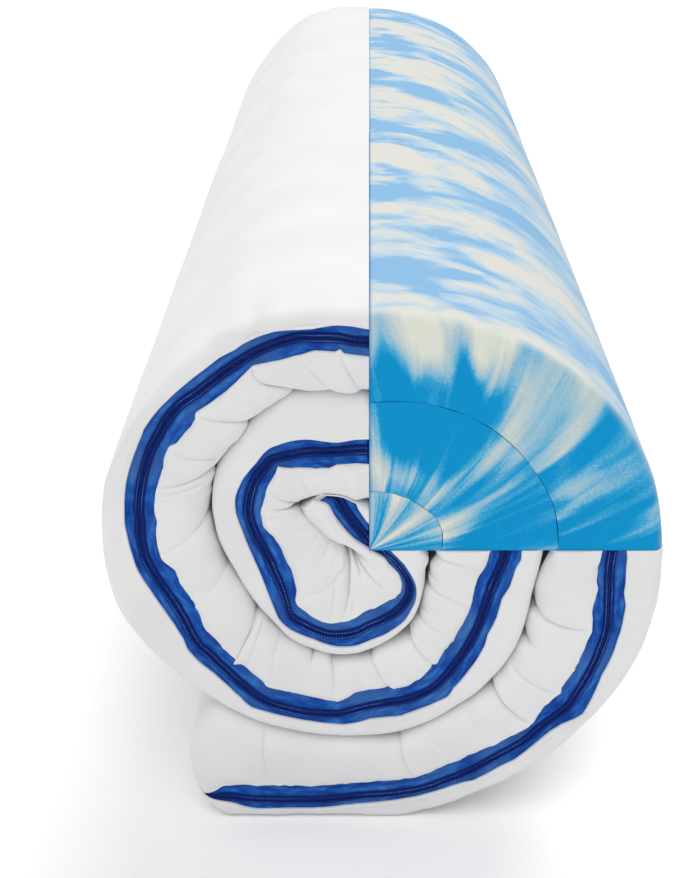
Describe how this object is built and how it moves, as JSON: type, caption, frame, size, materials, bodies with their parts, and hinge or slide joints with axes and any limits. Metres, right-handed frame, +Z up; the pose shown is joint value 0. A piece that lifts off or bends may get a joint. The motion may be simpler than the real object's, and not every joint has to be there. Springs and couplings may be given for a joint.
{
  "type": "mattress topper",
  "caption": "Foam mattress topper in a white knitted cover with a blue zip, rolled up on its loose end, the cover cut away along one side to show the marbled foam.",
  "frame": {"origin": "on the floor under the middle of the roll: the centre of the bottom of its bounding box", "axes": "seen from the zip end, +X to the right, +Y along the roll to its far end, +Z up"},
  "size_m": [0.4643, 1.372, 0.4989],
  "materials": {
    "cover_knit": "smooth white knit",
    "marbled_foam": "open-cell foam, blue marbled with cream",
    "zip_tape": "woven blue tape",
    "zip_coil": "navy nylon coil"
  },
  "bodies": {
    "root": {"outer_turn_cover": "cover_knit", "middle_turn_cover": "cover_knit", "inner_turn_cover": "cover_knit", "outer_foam": "marbled_foam", "middle_foam": "marbled_foam", "inner_foam": "marbled_foam", "outer_turn_zip_rim_tape": "zip_tape", "outer_turn_zip_core_tape": "zip_tape", "outer_turn_zip_coil": "zip_coil", "middle_turn_zip_rim_tape": "zip_tape", "middle_turn_zip_core_tape": "zip_tape", "middle_turn_zip_coil": "zip_coil", "inner_turn_zip_rim_tape": "zip_tape", "inner_turn_zip_core_tape": "zip_tape", "inner_turn_zip_coil": "zip_coil", "inner_end_zip_rim_tape": "zip_tape", "inner_end_zip_coil": "zip_coil"}
  },
  "joints": []
}
